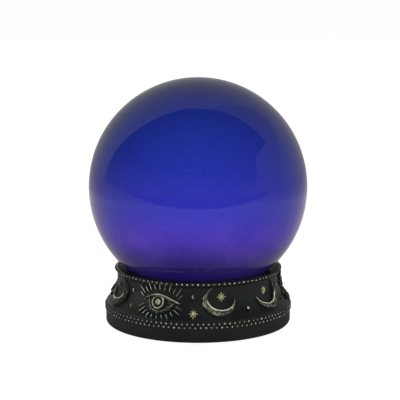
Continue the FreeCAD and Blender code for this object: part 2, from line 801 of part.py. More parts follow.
def battery_door():
    """Flat door with two tabs that hook over the plate's edge and an ear for its captive screw."""
    low, high = d.plate_bottom, d.plate_bottom + d.door_thick
    half_x, far = d.tray_half_width + d.door_lip, d.tray_half_length + d.door_lip
    solid = [
        box("door_panel", both(half_x), (-d.door_edge, far), (low, high)),
        box("door_ear", both(d.ear_width / 2), (far - 1, d.ear_reach), (low, high)),
    ]
    for n, side in enumerate((-1, 1)):
        x = d.tab_place * side
        half_tab = d.tab_width / 2
        tab_y = (-d.tab_reach, -d.door_edge + 1)
        solid.append(box(f"door_tab_{n}", (x - half_tab, x + half_tab), tab_y, (d.tab_low, high)))
    place = d.door_screw_place
    rooms = [
        cylinder("door_screw_hole", d.door_screw_radius + 0.1, low - 1, high + 1, 0, place),
        cylinder("door_head_hole", 2.2, low - 1, low + 0.7, 0, place),
    ]
    for n in range(4):
        rooms.append(box(f"grip_{n}", both(5), (18 + 1.6 * n, 18.7 + 1.6 * n), (low - 1, low + 0.4)))
    keep(cut("battery_door", fuse("door_blank", *solid), *rooms), "battery_door")

    head_low, head_high = low + 0.1, low + 0.7
    head = cylinder("door_screw_head", 2.0, head_low, head_high, 0, place)
    shank = cylinder("door_screw_shank", d.door_screw_radius, head_high, d.door_screw_top, 0, place)
    cross = []
    for n, (reach_x, reach_y) in enumerate(((1.2, 0.25), (0.25, 1.2))):
        across = (place - reach_y, place + reach_y)
        cross.append(box(f"door_cross_{n}", both(reach_x), across, (head_low - 1, head_low + 0.4)))
    keep(cut("door_screw", fuse("door_screw_blank", head, shank), *cross), "door_screw")


def switch():
    """Slide switch on the plate. Its knob reaches down through the plate's slot, above the table."""
    base, place = d.plate_top, d.switch_place
    half_x, half_y = d.switch_half_width, d.switch_half_length
    high = base + d.switch_height
    body = box("switch_block", (place - half_x, place + half_x), both(half_y), (base, high))
    room = box(
        "switch_room",
        (place - half_x + 1.0, place + half_x - 1.0),
        both(half_y - 1.3),
        (base - 1, base + 4.2),
    )
    keep(cut("switch_body", body, room), "switch_body")

    off = -d.switch_travel / 2
    knob = box("knob_pad", (place - 1.4, place + 1.4), (off - 2.0, off + 2.0), (1.2, base + 0.6))
    slider_z = (base + 0.3, base + 3.4)
    slider = box("knob_slider", (place - 2.2, place + 2.2), (off - 3.2, off + 3.2), slider_z)
    grooves = [
        box(f"knob_groove_{n}", (place - 2, place + 2), (off - 1.35 + n, off - 0.95 + n), (1.0, 1.6))
        for n in range(3)
    ]
    keep(cut("switch_knob", fuse("knob_blank", knob, slider), *grooves), "switch_knob")

    lug_x, lug_z = (place - 0.8, place + 0.8), (base + 2.3, base + 2.9)
    lugs = [
        box("lug_back", lug_x, (half_y, half_y + 1.0), lug_z),
        box("lug_front", lug_x, (-half_y - 1.0, -half_y), lug_z),
    ]
    keep(fuse("switch_lugs", *lugs), "switch_lugs")


def wire(label, points):
    """Round wire along straight runs joined by tangent arcs."""
    radius = SIZES["wire_radius"]
    corners = [Vec(*p) for p in points]
    edges, length = [], 0.0
    here = corners[0]
    for before, corner, after in zip(corners, corners[1:], corners[2:]):
        back, on = (before - corner).normalize(), (after - corner).normalize()
        half_turn = (math.pi - back.getAngle(on)) / 2
        bend = 0.45 * min((before - corner).Length, (after - corner).Length) / math.tan(half_turn)
        trim = bend * math.tan(half_turn)
        start, end = corner + back * trim, corner + on * trim
        centre_way = (back + on).normalize()
        middle = corner + centre_way * (bend / math.cos(half_turn) - bend)
        edges += [Part.LineSegment(here, start).toShape(), Part.Arc(start, middle, end).toShape()]
        here = end
        length += bend * 2 * half_turn
    edges.append(Part.LineSegment(here, corners[-1]).toShape())
    length += sum(e.Length for e in edges if isinstance(e.Curve, Part.Line))
    path = Part.Wire(edges)
    section = Part.Wire(Part.makeCircle(radius, corners[0], corners[1] - corners[0]))
    tube = path.makePipeShell([section], True, False)
    print(f"{label}: volume {tube.Volume:.2f}, section times length {math.pi * radius**2 * length:.2f}")
    solid_from_shape(label, tube)


def wires():
    """Battery to switch, switch to board, and board back to battery, beside the tray."""
    tail_y, tail_z = SIZES["tail_reach"], SIZES["tail_height"]
    pitch = SIZES["cell_pitch"]
    switch_x = SIZES["switch_place"]
    lug_y = SIZES["switch_half_length"] + 1.0
    lug_z = SIZES["plate_top"] + 2.6
    board_low = SIZES["tray_roof_high"]
    wire(
        "wire_battery_to_switch",
        [
            (-pitch, tail_y, tail_z),
            (-pitch, 33.0, tail_z),
            (-4.0, 38.0, tail_z),
            (9.0, 38.5, tail_z),
            (21.0, 34.0, tail_z),
            (29.5, 24.0, 9.0),
            (switch_x, 13.5, lug_z),
            (switch_x, lug_y, lug_z),
        ],
    )
    wire(
        "wire_switch_to_board",
        [
            (switch_x, -lug_y, lug_z),
            (switch_x, -13.0, lug_z),
            (25.5, -17.0, 8.2),
            (22.5, -14.5, 11.0),
            (22.8, -11.0, 11.3),
            (22.8, -11.0, board_low),
        ],
    )
    wire(
        "wire_board_to_battery",
        [
            (-22.8, -11.0, board_low),
            (-22.8, -11.0, 10.8),
            (-22.6, -17.0, 9.2),
            (-22.0, -24.5, 9.8),
            (-14.0, -32.2, tail_z),
            (-2.0, -34.0, tail_z),
            (pitch, -33.0, tail_z),
            (pitch, -tail_y, tail_z),
        ],
    )


def fasteners_and_feet():
    """Three screws that hold the plate to the casting, and four soft feet under the plate."""
    head_low = d.plate_bottom + 0.2
    head_high = d.plate_bottom + 1.4
    head = cylinder("screw_head", d.screw_head_radius, head_low, head_high)
    shank = cylinder("screw_shank", d.screw_radius, head_high, head_high + d.screw_length)
    cross = [
        box("screw_cross_a", both(1.5), both(0.35), (head_low - 1, head_low + 0.7)),
        box("screw_cross_b", both(0.35), both(1.5), (head_low - 1, head_low + 0.7)),
    ]
    screw = cut("screw", fuse("screw_blank", head, shank), *cross)
    pad = cylinder("foot_pad", d.foot_pad_radius, 0, d.foot_pad_high)
    doc.recompute()
    screws = [place_round(f"screw_{n}", screw, d.boss_circle, a) for n, a in enumerate((0, 120, 240))]
    pads = [place_round(f"pad_{n}", pad, d.foot_pad_circle, a) for n, a in enumerate((45, 135, 225, 315))]
    solid_from_shape("plate_screws", Part.makeCompound([s.Shape for s in screws]))
    solid_from_shape("foot_pads", Part.makeCompound([p.Shape for p in pads]))


def finish():
    doc.recompute()
    bad = [o.Name for o in doc.Objects if "Invalid" in o.State or "Error" in o.State]
    if bad:
        raise SystemExit(f"objects failed: {bad}")
    os.makedirs("parts", exist_ok=True)
    for thing in made:
        shape = thing.Shape
        if shape.isNull() or not shape.isValid() or not shape.Solids:
            raise SystemExit(f"{thing.Label} has no valid solid")
        shape.exportStep(f"parts/{thing.Label}.step")
        print(f"{thing.Label:24s} solids {len(shape.Solids):3d}  volume {shape.Volume:10.1f} mm3")


fill_sheet()
globe()
casting_body = base_casting()
seat_ring()
casting_shape = casting_body.Shape
moons(casting_shape)
stars(casting_shape)
accents(casting_shape)
eyes(casting_shape)
bead_rows()
diffuser_dish()
led_board()
cells()
contacts()
bottom_plate()
battery_door()
switch()
wires()
fasteners_and_feet()
finish()
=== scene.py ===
# Light-up crystal ball on its cast ring. Metres, +Z up, the origin on the table, the front faces -Y.
import json
import math

import bpy
import numpy as np
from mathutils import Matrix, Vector

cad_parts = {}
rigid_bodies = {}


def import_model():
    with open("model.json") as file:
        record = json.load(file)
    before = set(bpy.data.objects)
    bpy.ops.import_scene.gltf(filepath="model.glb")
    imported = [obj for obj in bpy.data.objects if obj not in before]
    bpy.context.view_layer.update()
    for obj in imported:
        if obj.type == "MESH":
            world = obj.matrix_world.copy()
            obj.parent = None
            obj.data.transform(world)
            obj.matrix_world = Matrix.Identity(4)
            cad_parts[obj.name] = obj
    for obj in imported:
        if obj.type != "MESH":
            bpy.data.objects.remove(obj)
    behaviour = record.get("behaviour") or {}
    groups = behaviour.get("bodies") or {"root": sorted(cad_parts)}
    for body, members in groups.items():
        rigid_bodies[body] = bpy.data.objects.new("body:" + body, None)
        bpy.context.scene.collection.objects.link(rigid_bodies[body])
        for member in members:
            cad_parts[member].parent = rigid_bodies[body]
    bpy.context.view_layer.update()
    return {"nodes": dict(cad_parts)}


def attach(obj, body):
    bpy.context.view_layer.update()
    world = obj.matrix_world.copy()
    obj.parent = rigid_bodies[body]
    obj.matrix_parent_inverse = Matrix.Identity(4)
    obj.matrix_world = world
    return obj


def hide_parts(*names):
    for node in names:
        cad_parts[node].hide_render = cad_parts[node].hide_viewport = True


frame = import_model()
mm = 0.001


# mesh helpers: every surface is a numpy grid of points
def makePiece(name, verts, faces, material, body, replaced=(), layers=None):
    mesh = bpy.data.meshes.new(name)
    mesh.from_pydata(np.asarray(verts, dtype=float), [], faces)
    mesh.validate()
    mesh.update()
    mesh.polygons.foreach_set("use_smooth", np.full(len(mesh.polygons), True))
    for layer, values in (layers or {}).items():
        mesh.attributes.new(layer, "FLOAT", "POINT").data.foreach_set("value", np.asarray(values, dtype=float))
    piece = bpy.data.objects.new(name, mesh)
    bpy.context.scene.collection.objects.link(piece)
    mesh.materials.append(material)
    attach(piece, body)
    if replaced:
        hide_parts(*replaced)
    return piece


def gridFaces(rows, cols, closeRows=False, closeCols=False, flip=False):
    # quads between neighbouring points of a rows x cols grid, joined round where asked
    r = np.arange(rows if closeRows else rows - 1)
    c = np.arange(cols if closeCols else cols - 1)
    rr, cc = np.meshgrid(r, c, indexing="ij")
    nextR, nextC = (rr + 1) % rows, (cc + 1) % cols
    quads = np.stack([rr * cols + cc, nextR * cols + cc, nextR * cols + nextC, rr * cols + nextC], axis=-1)
    quads = quads.reshape(-1, 4)
    return quads[:, ::-1] if flip else quads


def joined(parts):
    # several (verts, faces, crest) blocks as one mesh
    verts, faces, crests, start = [], [], [], 0
    for v, f, c in parts:
        verts.append(v)
        faces.append(f + start)
        crests.append(c)
        start += len(v)
    return np.concatenate(verts), [tuple(q) for f in faces for q in f.tolist()], np.concatenate(crests)


def smoothStep(low, high, x):
    # 0 below low, 1 above high, and an S-shaped curve between them
    t = np.clip((x - low) / (high - low), 0, 1)
    return t * t * (3 - 2 * t)


# material helpers
def newMaterial(name):
    material = bpy.data.materials.new(name)
    material.use_nodes = True
    tree = material.node_tree
    return material, tree, tree.nodes["Principled BSDF"]


def addNode(tree, kind, **values):
    node = tree.nodes.new(kind)
    for key, value in values.items():
        if hasattr(node, key):
            setattr(node, key, value)
        else:
            node.inputs[key.replace("_", " ")].default_value = value
    return node


def objectCoords(tree):
    return addNode(tree, "ShaderNodeTexCoord").outputs["Object"]


def noiseNode(tree, coords, scale, detail=3.0, roughness=0.5):
    node = addNode(tree, "ShaderNodeTexNoise")
    node.inputs["Scale"].default_value = scale
    node.inputs["Detail"].default_value = detail
    node.inputs["Roughness"].default_value = roughness
    tree.links.new(coords, node.inputs["Vector"])
    return node.outputs["Fac"]


def mapRange(tree, value, fromLow, fromHigh, toLow, toHigh):
    node = addNode(tree, "ShaderNodeMapRange")
    for key, number in (("From Min", fromLow), ("From Max", fromHigh), ("To Min", toLow), ("To Max", toHigh)):
        node.inputs[key].default_value = number
    tree.links.new(value, node.inputs["Value"])
    return node.outputs["Result"]


def ramp(tree, value, stops):
    node = addNode(tree, "ShaderNodeValToRGB")
    bar = node.color_ramp.elements
    while len(bar) < len(stops):
        bar.new(0.5)
    for stop, (place, colour) in zip(bar, stops):
        stop.position = place
        stop.color = (*colour, 1.0)
    tree.links.new(value, node.inputs["Fac"])
    return node.outputs["Color"]


def mixColour(tree, amount, a, b, blend="MIX"):
    node = addNode(tree, "ShaderNodeMix", data_type="RGBA", blend_type=blend)
    sockets = {s.identifier: s for s in node.inputs}
    for key, value in (("Factor_Float", amount), ("A_Color", a), ("B_Color", b)):
        if isinstance(value, bpy.types.NodeSocket):
            tree.links.new(value, sockets[key])
        elif key == "Factor_Float":
            sockets[key].default_value = value
        else:
            sockets[key].default_value = (*value, 1.0)
    return next(s for s in node.outputs if s.identifier == "Result_Color")


def mathNode(tree, operation, a, b=0.0):
    node = addNode(tree, "ShaderNodeMath", operation=operation)
    for socket, value in zip(node.inputs, (a, b)):
        if isinstance(value, bpy.types.NodeSocket):
            tree.links.new(value, socket)
        else:
            socket.default_value = value
    return node.outputs[0]


def addBump(tree, shader, height, strength, distance):
    node = addNode(tree, "ShaderNodeBump")
    node.inputs["Strength"].default_value = strength
    node.inputs["Distance"].default_value = distance
    tree.links.new(height, node.inputs["Height"])
    tree.links.new(node.outputs["Normal"], shader.inputs["Normal"])


# satin black paint over cast resin
blackPaint = {
    "colour": (0.0026, 0.0036, 0.0032), "worn": (0.0064, 0.0080, 0.0072), "roughness": (0.44, 0.60), "grain": 900,
}


def blackPaintNodes(tree):
    coords = objectCoords(tree)
    cloudy = noiseNode(tree, coords, 60, 4, 0.6)
    fine = noiseNode(tree, coords, blackPaint["grain"], 3, 0.6)
    colour = mixColour(tree, mapRange(tree, cloudy, 0.42, 0.72, 0, 1), blackPaint["colour"], blackPaint["worn"])
    rough = mapRange(tree, cloudy, 0.3, 0.7, *blackPaint["roughness"])
    return coords, cloudy, fine, colour, rough


def blackResinMaterial():
    material, tree, shader = newMaterial("blackResin")
    _, cloudy, fine, colour, rough = blackPaintNodes(tree)
    tree.links.new(colour, shader.inputs["Base Color"])
    tree.links.new(rough, shader.inputs["Roughness"])
    shader.inputs["Specular IOR Level"].default_value = 0.42
    addBump(tree, shader, mathNode(tree, "ADD", mathNode(tree, "MULTIPLY", cloudy, 2.0), fine), 0.35, 0.00012)
    return material


# antique gold: the brush catches the crests, the black stays in the hollows
def giltMaterial(name, gold, deepGold, start, full, patches):
    material, tree, shader = newMaterial(name)
    coords, _, fine, black, _ = blackPaintNodes(tree)
    crest = addNode(tree, "ShaderNodeAttribute", attribute_name="crest").outputs["Fac"]
    patchy = noiseNode(tree, coords, 620, 5, 0.7)
    reach = mathNode(tree, "ADD", crest, mapRange(tree, patchy, 0.3, 0.7, -patches, patches))
    amount = mapRange(tree, reach, start, full, 0, 1)
    paint = mixColour(tree, mapRange(tree, reach, 0.55, 1.15, 0, 1), deepGold, gold)
    tree.links.new(mixColour(tree, amount, black, paint), shader.inputs["Base Color"])
    tree.links.new(mathNode(tree, "MULTIPLY", amount, 0.25), shader.inputs["Metallic"])
    tree.links.new(mapRange(tree, patchy, 0.3, 0.7, 0.34, 0.52), shader.inputs["Roughness"])
    shader.inputs["Specular IOR Level"].default_value = 0.2
    addBump(tree, shader, mathNode(tree, "ADD", fine, patchy), 0.4, 0.0002)
    return material


# the wall that the relief lies on: outside of the neck as radius over height, in metres
neck = {"radius": 44.7 * mm, "curve": 16.73 * mm, "bend": 26.0 * mm, "foot": 13.6 * mm}
# radius that distances across a motif are measured on, and how deep in mm the backs lie in the wall
relief = {"radius": 46.5 * mm, "sunk": 0.35}


def neckRadius(z):
    # upright above the bend; below it the wall swings out along an arc, down to the foot
    drop = np.clip(neck["bend"] - z, 0, neck["bend"] - neck["foot"])
    return neck["radius"] + neck["curve"] - np.sqrt(neck["curve"] ** 2 - drop**2)


def onWall(across, z, height, azimuth):
    # across mm round the wall from the motif's azimuth, z mm up, height mm along the wall's outward normal
    z, height = np.asarray(z) * mm, np.asarray(height) * mm
    drop = np.clip(neck["bend"] - z, 0, neck["bend"] - neck["foot"])
    lean = np.arcsin(drop / neck["curve"])  # the wall's lean from upright
    radius = neckRadius(z) + height * np.cos(lean)
    up = z + height * np.sin(lean)
    angle = np.radians(azimuth) + np.asarray(across) * mm / relief["radius"]
    return np.stack([radius * np.sin(angle), -radius * np.cos(angle), up], axis=-1)


# relief pieces
def reliefBlock(across, z, height, azimuth):
    # closed crowned block from rows of points across a section: height 0..crest on top, its back sunk in the wall
    rows, cols = across.shape
    top = onWall(across, z, height, azimuth).reshape(-1, 3)
    back = onWall(across, z, np.full(across.shape, -relief["sunk"]), azimuth).reshape(-1, 3)
    count = rows * cols
    faces = [gridFaces(rows, cols, flip=True), gridFaces(rows, cols) + count]
    border = np.concatenate([
        np.arange(cols),
        np.arange(2 * cols - 1, count, cols),
        np.arange(count - 2, count - cols - 1, -1),
        np.arange(count - 2 * cols, 0, -cols),
    ])
    after = np.roll(border, -1)
    faces.append(np.stack([border, after, after + count, border + count], axis=-1))
    return np.concatenate([top, back]), np.concatenate(faces)


def crowned(v, power=2.0):
    # 0 at both edges of a strip, 1 in its middle
    return (1 - np.abs(2 * v - 1) ** power) ** 0.5


def strip(edgeA, edgeB, heightOf, azimuth, along=64, over=12, crestOf=None):
    # surface ruled between two boundary curves of u, with heightOf(u, v) above the wall
    u, v = np.meshgrid(np.linspace(0, 1, along), np.linspace(0, 1, over), indexing="ij")
    ax, az = edgeA(u)
    bx, bz = edgeB(u)
    height = heightOf(u, v)
    verts, faces = reliefBlock(ax + (bx - ax) * v, az + (bz - az) * v, height, azimuth)
    crest = height / max(height.max(), 1e-6) if crestOf is None else crestOf(u, v)
    return verts, faces, np.concatenate([crest.ravel(), np.zeros(height.size)])


def bump(x, middle, width):
    # 1 at the middle and falling off like a bell on both sides
    return np.exp(-(((x - middle) / width) ** 2))


def ellipseArc(cx, cz, rx, rz, start, end):
    # curve of u along an ellipse from start to end, degrees anticlockwise from its right
    def curve(u):
        angle = np.radians(start + (end - start) * u)
        return cx + rx * np.cos(angle), cz + rz * np.sin(angle)
    return curve


def bentLine(points):
    # smooth curve of u through a few (across, z) points
    points = np.array(points, dtype=float)
    knots = np.linspace(0, 1, len(points))
    fits = [np.polyfit(knots, points[:, k], len(points) - 1) for k in range(2)]
    return lambda u: (np.polyval(fits[0], u), np.polyval(fits[1], u))


def pointedEnds(u, sharp=0.12):
    # 0 at both ends of a strip and 1 between them; sharp is the share of the length that each end takes
    return smoothStep(0, sharp, u) * smoothStep(0, sharp, 1 - u)


moon = {
    "azimuths": {"moons_open_right": 14.0, "moons_open_left": 54.0},
    "centre": 21.7, "radius": 9.4, "squash": 0.87, "biteRadius": 7.7, "biteShift": (1.7, 2.6 / 0.87), "height": 1.8,
}


def moonBlock(azimuth, side):
    # crescent between two ellipses: the outer rim and the bite, met at the two horns
    bx, bz = moon["biteShift"]
    reach, bite = moon["radius"], moon["biteRadius"]
    gap = math.hypot(bx, bz)
    lean = math.degrees(math.atan2(bz, bx))
    outerHalf = math.degrees(math.acos((gap**2 + reach**2 - bite**2) / (2 * gap * reach)))
    biteHalf = math.degrees(math.acos((reach**2 - gap**2 - bite**2) / (2 * gap * bite)))
    def outer(u):
        angle = np.radians(lean + outerHalf + (360 - 2 * outerHalf) * u)
        return side * reach * np.cos(angle), moon["centre"] + moon["squash"] * reach * np.sin(angle)
    def inner(u):
        angle = np.radians(lean + biteHalf + (360 - 2 * biteHalf) * u)
        return side * (bx + bite * np.cos(angle)), moon["centre"] + moon["squash"] * (bz + bite * np.sin(angle))
    def height(u, v):
        body = moon["height"] * crowned(0.08 + 0.84 * v, 2.4)
        carving = 0.40 * bump(v, 0.80, 0.08) - 0.45 * bump(v, 0.64, 0.07) - 0.30 * bump(v, 0.95, 0.04)
        groove = -0.30 * bump(v, 0.26, 0.06)
        return (body + carving + groove) * (0.25 + 0.75 * pointedEnds(u, 0.30)) * smoothStep(0, 0.04, v) \
            * smoothStep(0, 0.04, 1 - v)
    def crest(u, v):
        # an even brushed wash, brightest along the inner ridge, bare black at both edges; the ridge is made brighter
        # from the lower left to the bottom, and a patch near the outer left edge is brighter too, as painted highlights
        ridge = 1.45 * bump(v, 0.79, 0.09) * smoothStep(0.10, 0.40, u) * (1 - 0.4 * smoothStep(0.85, 1.0, u))
        wash = (0.63 - 0.12 * v) * smoothStep(0.08, 0.26, v) * smoothStep(0.0, 0.12, 1 - v)
        rim = 0.86 * bump(v, 0.20, 0.10) * bump(u, 0.24, 0.18)
        horns = 0.8 * (1 - pointedEnds(u, 0.20)) * bump(v, 0.5, 0.4)
        return np.maximum(np.maximum(ridge, wash), np.maximum(horns, rim))
    if side > 0:
        return strip(outer, inner, height, azimuth, 110, 34, crest)
    return strip(
        inner, outer, lambda u, v: height(u, 1 - v), azimuth, 110, 34, lambda u, v: crest(u, 1 - v)
    )


def starBlock(azimuth, cx, cz, radius, waist, points, height):
    # star about its centre: the reach swings between waist and radius, every other point a little shorter
    u, v = np.meshgrid(np.linspace(0, 1, 6), np.arange(6 * points) / (6 * points), indexing="ij")
    phase = np.abs((v * points) % 1 * 2 - 1)
    point = np.where(np.round(v * points) % 2 == 0, 1.0, 0.86)
    reach = waist + (radius * point - waist) * phase**1.8
    across, z = cx + u * reach * np.sin(2 * np.pi * v), cz + u * reach * np.cos(2 * np.pi * v)
    tall = height * (1 - 0.7 * u**1.6) * (0.45 + 0.55 * np.maximum(phase, 1 - u)) * smoothStep(0, 0.06, 1 - u) + 0.02
    rows, cols = u.shape
    top = onWall(across, z, tall, azimuth).reshape(-1, 3)
    base = onWall(across[-1], z[-1], np.full(cols, -relief["sunk"]), azimuth)
    verts = np.concatenate([top, base])
    faces = gridFaces(rows + 1, cols, closeCols=True)
    crest = np.maximum(phase**1.2, 1 - 1.2 * u) * (1 - 0.35 * u)
    return verts, faces, np.concatenate([crest.ravel(), np.zeros(cols)])


def domeBlock(azimuth, cx, cz, radius, height, rings=8, around=24):
    # round boss: the upper half of an ellipsoid about its centre
    u, v = np.meshgrid(np.linspace(0, 1, rings), np.arange(around) / around, indexing="ij")
    tall = height * np.sqrt(1 - u**2)
    across = cx + u * radius * np.sin(2 * np.pi * v)
    z = cz + u * radius * np.cos(2 * np.pi * v)
    top = onWall(across, z, tall, azimuth).reshape(-1, 3)
    base = onWall(across[-1], z[-1], np.full(around, -relief["sunk"]), azimuth)
    return np.concatenate([top, base]), gridFaces(rings + 1, around, closeCols=True), \
        np.concatenate([tall.ravel() / height, np.zeros(around)])


def threeTimes(azimuth):
    # the pattern is repeated three times round the ring
    return [azimuth, azimuth + 120, azimuth + 240]


def giltScaled(block, left):
    # the same block with its gilding scaled to this share
    verts, faces, crest = block
    return verts, faces, crest * left


def reliefPiece(name, blocks, material):
    # all blocks as one piece, which stands for the CAD node of the same name without Gilt
    verts, faces, crest = joined(blocks)
    makePiece(name, verts, faces, material, "base", [name.replace("Gilt", "")], layers={"crest": crest})


antiqueGold = giltMaterial("antiqueGold", (0.60, 0.60, 0.47), (0.145, 0.145, 0.108), 0.42, 0.90, 0.30)
eyeGold = giltMaterial("eyeGold", (0.56, 0.56, 0.41), (0.19, 0.19, 0.14), 0.36, 0.82, 0.34)
rayGold = giltMaterial("rayGold", (0.50, 0.52, 0.45), (0.34, 0.36, 0.31), 0.55, 1.0, 0.14)
starGold = giltMaterial("starGold", (0.72, 0.70, 0.36), (0.40, 0.40, 0.22), 0.12, 0.50, 0.12)
beadGold = giltMaterial("beadGold", (0.54, 0.56, 0.48), (0.33, 0.35, 0.29), 0.66, 1.02, 0.16)

# share of the gilding on the three moons of each hand
moonGiltShares = {"moons_open_right": (1.0, 0.9, 1.0), "moons_open_left": (0.95, 0.84, 0.74)}
for node, azimuth in moon["azimuths"].items():
    side = 1 if node == "moons_open_right" else -1
    moons = [giltScaled(moonBlock(a, side), left) for a, left in zip(threeTimes(azimuth), moonGiltShares[node])]
    reliefPiece(node + "Gilt", moons, antiqueGold)

# the star inside each moon; those inside the left-handed moons have less gilding
blocks = []
for a in threeTimes(moon["azimuths"]["moons_open_right"]):
    blocks.append(starBlock(a, 1.5, 24.1, 2.8, 0.9, 8, 1.0))
for a, left in zip(threeTimes(moon["azimuths"]["moons_open_left"]), (0.8, 0.7, 0.25)):
    blocks.append(giltScaled(starBlock(a, -2.4, 24.2, 2.4, 0.8, 8, 1.0), left))
reliefPiece("moon_starsGilt", blocks, starGold)

blocks = []
for a in threeTimes(-3.0):
    blocks.append(starBlock(a, 0, 16.0, 2.5, 0.9, 8, 1.0))
for a in threeTimes(-48.6):
    blocks.append(giltScaled(starBlock(a, 0, 16.3, 1.5, 0.6, 5, 0.8), 0.3))
reliefPiece("accent_starsGilt", blocks, starGold)


def tinyCrescent(azimuth):
    # crescent between two arcs of circles, the inner one smaller and set to the right
    outer = ellipseArc(0, 24.6, 1.15, 1.15, 70, 330)
    inner = ellipseArc(0.45, 24.6, 0.75, 0.75, 95, 290)
    return strip(outer, inner, lambda u, v: 0.8 * crowned(v) * (0.3 + 0.7 * pointedEnds(u, 0.25)), azimuth, 24, 6)


def studBlock(azimuth):
    # round stud whose gilt is strongest on the top of its crown, a painted highlight from the light above
    verts, faces, crest = domeBlock(azimuth, 0, 16.7, 1.25, 1.15)
    upper = smoothStep(16.6, 17.6, verts[:, 2] / mm)
    return verts, faces, crest * (0.55 + 0.5 * upper)


reliefPiece(
    "accent_crescentsGilt", [tinyCrescent(a) for b in (-2.8, -49.5) for a in threeTimes(b)], antiqueGold
)
reliefPiece("accent_studsGilt", [studBlock(a) for a in threeTimes(33.7)], beadGold)
print("moons and stars made")

eye = {"azimuth": -26.0, "middle": 20.7, "rays": 11, "irisPlace": -1.1, "irisRadius": 1.75, "rayWidth": 0.42}


def upperLid(azimuth):
    # heavy lid over the ball, drawn out to a long tail on its right
    m = eye["middle"]
    over = bentLine([(-9.8, m + 0.4), (-5.6, m + 3.6), (-1.0, m + 4.8), (4.6, m + 3.4), (11.4, m + 0.2)])
    under = bentLine([(-9.6, m + 0.1), (-5.8, m + 2.2), (-0.6, m + 2.9), (4.6, m + 1.7), (11.3, m - 0.5)])
    def height(u, v):
        lid = 1.15 * crowned(v, 2.2) + 0.20 * bump(v, 0.22, 0.12) - 0.25 * bump(v, 0.55, 0.10)
        return lid * (0.35 + 0.65 * pointedEnds(u, 0.14)) * 1.5
    # the brightest band follows the raised top edge of the lid: gilt on that ridge and a painted highlight from the
    # light above
    def crest(u, v):
        fill = 0.70 * smoothStep(0.02, 0.12, v) * smoothStep(0.02, 0.20, 1 - v) - 0.20 * bump(v, 0.62, 0.07)
        return np.maximum(fill, 1.0 * bump(v, 0.20, 0.12) * (0.6 + 0.4 * bump(u, 0.55, 0.4)))
    return strip(over, under, height, azimuth, 64, 18, crest)


def lowerLid(azimuth):
    # band under the ball, carved into two ropes
    m = eye["middle"]
    brow = bentLine([(-6.6, m + 1.4), (-4.0, m - 2.9), (0.1, m - 4.4), (4.4, m - 2.8), (7.6, m + 0.2)])
    under = bentLine([(-7.4, m + 1.3), (-4.9, m - 4.1), (0.6, m - 5.9), (5.8, m - 3.9), (8.6, m - 0.4)])
    def height(u, v):
        ropes = 0.9 * crowned(v) + 0.35 * bump(v, 0.26, 0.13) + 0.35 * bump(v, 0.78, 0.13)
        return 1.3 * ropes * (0.25 + 0.75 * pointedEnds(u, 0.2)) * (1 + 0.06 * np.sin(u * 150))
    def crest(u, v):
        ropes = np.maximum(0.95 * bump(v, 0.27, 0.16), 0.66 * bump(v, 0.78, 0.14))
        return ropes * (0.85 + 0.15 * np.sin(u * 150))
    return strip(brow, under, height, azimuth, 96, 14, crest)


def eyeBall(azimuth):
    # ball with a groove round the iris and a raised gilt band outside the groove
    m = eye["middle"]
    over = bentLine([(-5.9, m + 1.8), (-3.6, m + 2.6), (-0.4, m + 2.9), (3.2, m + 2.2), (6.4, m + 0.9)])
    under = bentLine([(-5.9, m + 1.7), (-3.7, m - 2.8), (0.1, m - 4.4), (4.1, m - 2.6), (6.4, m + 0.8)])
    def away(u, v):
        ax, az = over(u)
        bx, bz = under(u)
        return np.hypot(ax + (bx - ax) * v - eye["irisPlace"], az + (bz - az) * v - m)
    def height(u, v):
        reach = away(u, v)
        rings = 0.45 * bump(reach, 3.1, 0.55) - 0.60 * bump(reach, 2.2, 0.34)
        return np.clip(0.75 * crowned(0.06 + 0.88 * v) * (0.3 + 0.7 * pointedEnds(u, 0.15)) + rings, -0.2, 2)
    def crest(u, v):
        reach = away(u, v)
        band = 0.72 * smoothStep(2.35, 2.80, reach) * smoothStep(0, 0.5, 3.95 - reach)
        return np.maximum(band, 0.40 * smoothStep(4.4, 5.6, reach))
    return strip(over, under, height, azimuth, 90, 48, crest)


def irisDome(azimuth):
    # round boss in the middle of the ball, gilt all over its crown
    verts, faces, crest = domeBlock(azimuth, eye["irisPlace"], eye["middle"], eye["irisRadius"], 1.8, 12, 32)
    return verts, faces, 0.76 * smoothStep(0.10, 0.35, crest)


def rayBlock(azimuth, startX, startZ, endX, endZ, width):
    # straight crowned bar from start to end that tapers to 0.65 of its width
    lengthX, lengthZ = endX - startX, endZ - startZ
    reach = math.hypot(lengthX, lengthZ)
    sideX, sideZ = -lengthZ / reach * width / 2, lengthX / reach * width / 2
    def edge(sign):
        def curve(u):
            taper = 1 - 0.35 * u
            return startX + lengthX * u + sign * sideX * taper, startZ + lengthZ * u + sign * sideZ * taper
        return curve
    def height(u, v):
        return 1.3 * crowned(v) * (0.35 + 0.65 * pointedEnds(u, 0.12))
    return strip(edge(1), edge(-1), height, azimuth, 9, 5, lambda u, v: crowned(v) * (0.6 + 0.4 * pointedEnds(u, 0.1)))


def eyeRays(azimuth):
    # two fans of rays that start on an oval round the eye: place turns along the oval, aim is each ray's direction
    blocks = []
    for number in range(eye["rays"]):
        share = number / (eye["rays"] - 1)
        spread = abs(2 * share - 1)
        odd = number % 2
        fans = (
            (162 - 144 * share, 141 - 94 * share, 10.8, 6.6, 3.3 + 3.2 * spread if odd else 3.7),
            (196 + 148 * share, 214 + 124 * share, 9.6, 6.5, 1.9 + 2.9 * spread if odd else 1.8 + 1.9 * spread**2),
        )
        for place, aim, reachX, reachZ, length in fans:
            place, aim = math.radians(place), math.radians(aim)
            x, z = reachX * math.cos(place), eye["middle"] + reachZ * math.sin(place)
            endX, endZ = x + length * math.cos(aim), z + length * math.sin(aim)
            blocks.append(rayBlock(azimuth, x, z, endX, endZ, eye["rayWidth"]))
    return blocks
